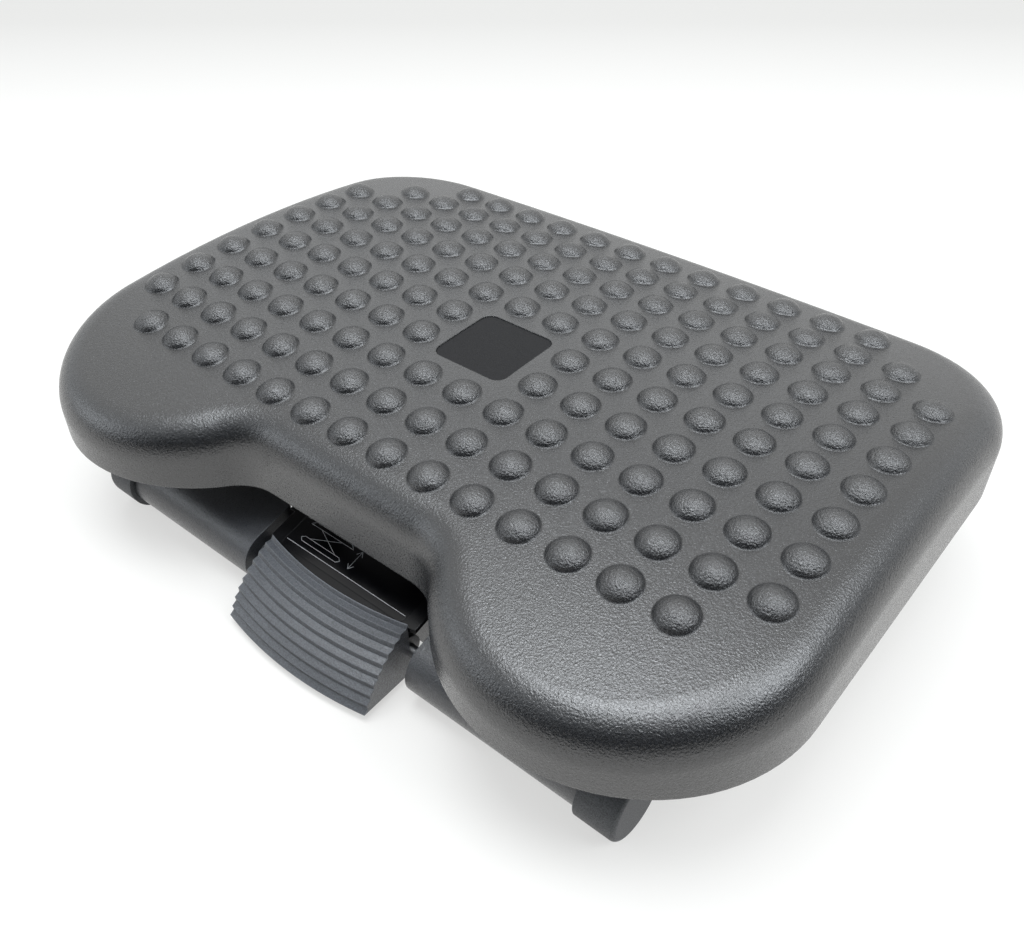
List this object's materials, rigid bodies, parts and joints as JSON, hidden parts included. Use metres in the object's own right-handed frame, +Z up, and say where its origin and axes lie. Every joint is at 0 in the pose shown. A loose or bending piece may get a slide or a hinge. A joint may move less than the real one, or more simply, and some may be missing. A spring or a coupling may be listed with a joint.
{
  "type": "under-desk footrest",
  "caption": "Under-desk footrest: studded tilting platform on a parallel lifting linkage, held by a brake that a foot pedal releases",
  "frame": {"origin": "on the floor, under the middle of the outline", "axes": "+X to the right along the front bar, +Y from the user towards the back, +Z up"},
  "size_m": [0.4344, 0.3222, 0.1134],
  "materials": {
    "shell_plastic": "satin black moulding with a fine leathery grain",
    "structural_plastic": "plain black moulding",
    "deck_plastic": "smooth near-black",
    "pedal_plastic": "matte blue-grey, ribbed",
    "label_film": "smooth printed film",
    "boot_rubber": "dull rubber",
    "lining": "friction lining",
    "bush_nylon": "natural nylon",
    "plated_steel": "zinc plated"
  },
  "bodies": {
    "base": {"base_frame": "shell_plastic", "front_cover": "deck_plastic", "rear_cover": "deck_plastic", "deck_label": "label_film", "cover_screws": "plated_steel", "pedal_pin": "plated_steel", "crank_pin": "plated_steel", "brake_spring": "plated_steel", "right_front_boot": "boot_rubber", "left_front_boot": "boot_rubber", "right_rear_boot": "boot_rubber", "left_rear_boot": "boot_rubber", "right_shaft_bush": "bush_nylon", "left_shaft_bush": "bush_nylon", "right_link_base_pin": "plated_steel", "left_link_base_pin": "plated_steel"},
    "pedal": {"pedal": "pedal_plastic"},
    "crank": {"release_crank": "structural_plastic"},
    "brake": {"brake_rod": "plated_steel", "rod_pin": "plated_steel", "brake_shoe": "structural_plastic", "brake_lining": "lining"},
    "lift_arms": {"lift_shaft": "plated_steel", "hub_pins": "plated_steel", "brake_drum": "structural_plastic", "right_lift_arm": "structural_plastic", "left_lift_arm": "structural_plastic"},
    "control_links": {"right_control_link": "structural_plastic", "left_control_link": "structural_plastic"},
    "carrier": {"tilt_carrier": "structural_plastic", "tilt_axle": "plated_steel", "axle_spacer": "plated_steel", "right_axle_nut": "plated_steel", "left_axle_nut": "plated_steel", "right_friction_washer": "bush_nylon", "left_friction_washer": "bush_nylon", "right_arm_head_pin": "plated_steel", "left_arm_head_pin": "plated_steel", "right_link_head_pin": "plated_steel", "left_link_head_pin": "plated_steel"},
    "platform": {"platform": "shell_plastic", "badge_plate": "deck_plastic", "bracket_screws": "plated_steel", "right_tilt_bracket": "structural_plastic", "left_tilt_bracket": "structural_plastic"}
  },
  "joints": [
    {"name": "pedal_press", "type": "hinge", "parent": "base", "child": "pedal", "pos_m": [0, -0.1223, 0.017], "axis": [1, 0, 0], "range_deg": [0, 6], "stiffness_Nm_per_rad": 4, "springref_deg": -5.73},
    {"name": "crank_turn", "type": "hinge", "parent": "base", "child": "crank", "pos_m": [0, -0.0677, 0.0335], "axis": [1, 0, 0], "range_deg": [-12.5, 0]},
    {"name": "brake_release", "type": "slide", "parent": "base", "child": "brake", "axis": [0, -1, 0], "range_m": [0, 0.0028], "deforming": ["brake_spring"]},
    {"name": "lift", "type": "hinge", "parent": "base", "child": "lift_arms", "pos_m": [0, 0.104, 0.024], "axis": [-1, 0, 0], "range_deg": [0, 22]},
    {"name": "link_turn", "type": "hinge", "parent": "base", "child": "control_links", "pos_m": [0, 0.11094, 0.04276], "axis": [-1, 0, 0], "range_deg": [0, 22.2]},
    {"name": "carrier_level", "type": "hinge", "parent": "lift_arms", "child": "carrier", "pos_m": [0, -0.01176, 0.04296], "axis": [1, 0, 0], "range_deg": [0, 22.2]},
    {"name": "platform_tilt", "type": "hinge", "parent": "carrier", "child": "platform", "pos_m": [0, -0.0077, 0.076], "axis": [1, 0, 0], "range_deg": [-13, 11]}
  ],
  "couplings": [
    {"joint": "crank_turn", "follows": "pedal_press", "ratio": -2.0333},
    {"joint": "brake_release", "follows": "pedal_press", "m_per_rad": 0.025225},
    {"joint": "link_turn", "follows": "lift", "ratio": 1},
    {"joint": "carrier_level", "follows": "lift", "ratio": 1}
  ]
}
